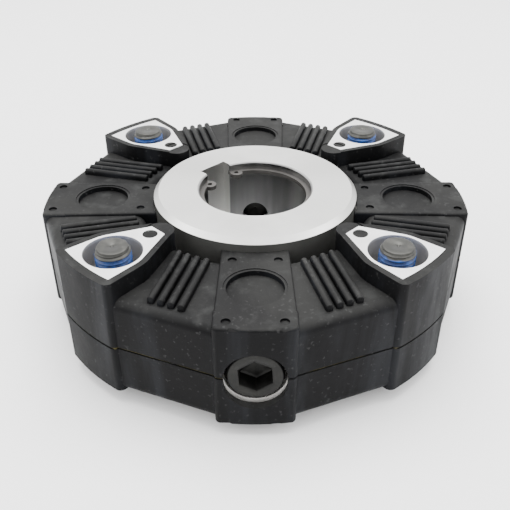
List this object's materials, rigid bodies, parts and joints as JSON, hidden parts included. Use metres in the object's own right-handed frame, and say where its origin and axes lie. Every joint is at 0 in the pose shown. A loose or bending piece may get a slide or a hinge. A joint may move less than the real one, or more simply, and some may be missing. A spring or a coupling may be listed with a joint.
{
  "type": "flexible shaft coupling",
  "caption": "Flexible shaft coupling: a ribbed rubber ring between a keyed steel hub and bolted metal stations for a flywheel.",
  "frame": {"origin": "centre of the hub's lower end face, on the surface that the coupling stands on", "axes": "+Z along the shaft axis towards the mounting face; radial screws along X and Y, axial screws at 45 degrees to them, keyway at 135 degrees"},
  "size_m": [0.262, 0.262, 0.085],
  "materials": {
    "rubber": "satin moulded rubber",
    "hub_steel": "turned end faces, darkened outside and bore",
    "spring_steel": "phosphated",
    "insert_aluminium": "machined",
    "screw_steel": "black oxide with blue thread lock on the thread"
  },
  "bodies": {
    "root": {"rubber_ring": "rubber", "hub": "hub_steel", "retaining_ring": "spring_steel", "axial_insert_1": "insert_aluminium", "axial_insert_2": "insert_aluminium", "axial_insert_3": "insert_aluminium", "axial_insert_4": "insert_aluminium", "radial_insert_1": "insert_aluminium", "radial_insert_2": "insert_aluminium", "radial_insert_3": "insert_aluminium", "radial_insert_4": "insert_aluminium", "axial_screw_1": "screw_steel", "axial_screw_2": "screw_steel", "axial_screw_3": "screw_steel", "axial_screw_4": "screw_steel", "radial_screw_1": "screw_steel", "radial_screw_2": "screw_steel", "radial_screw_3": "screw_steel", "radial_screw_4": "screw_steel"}
  },
  "joints": []
}
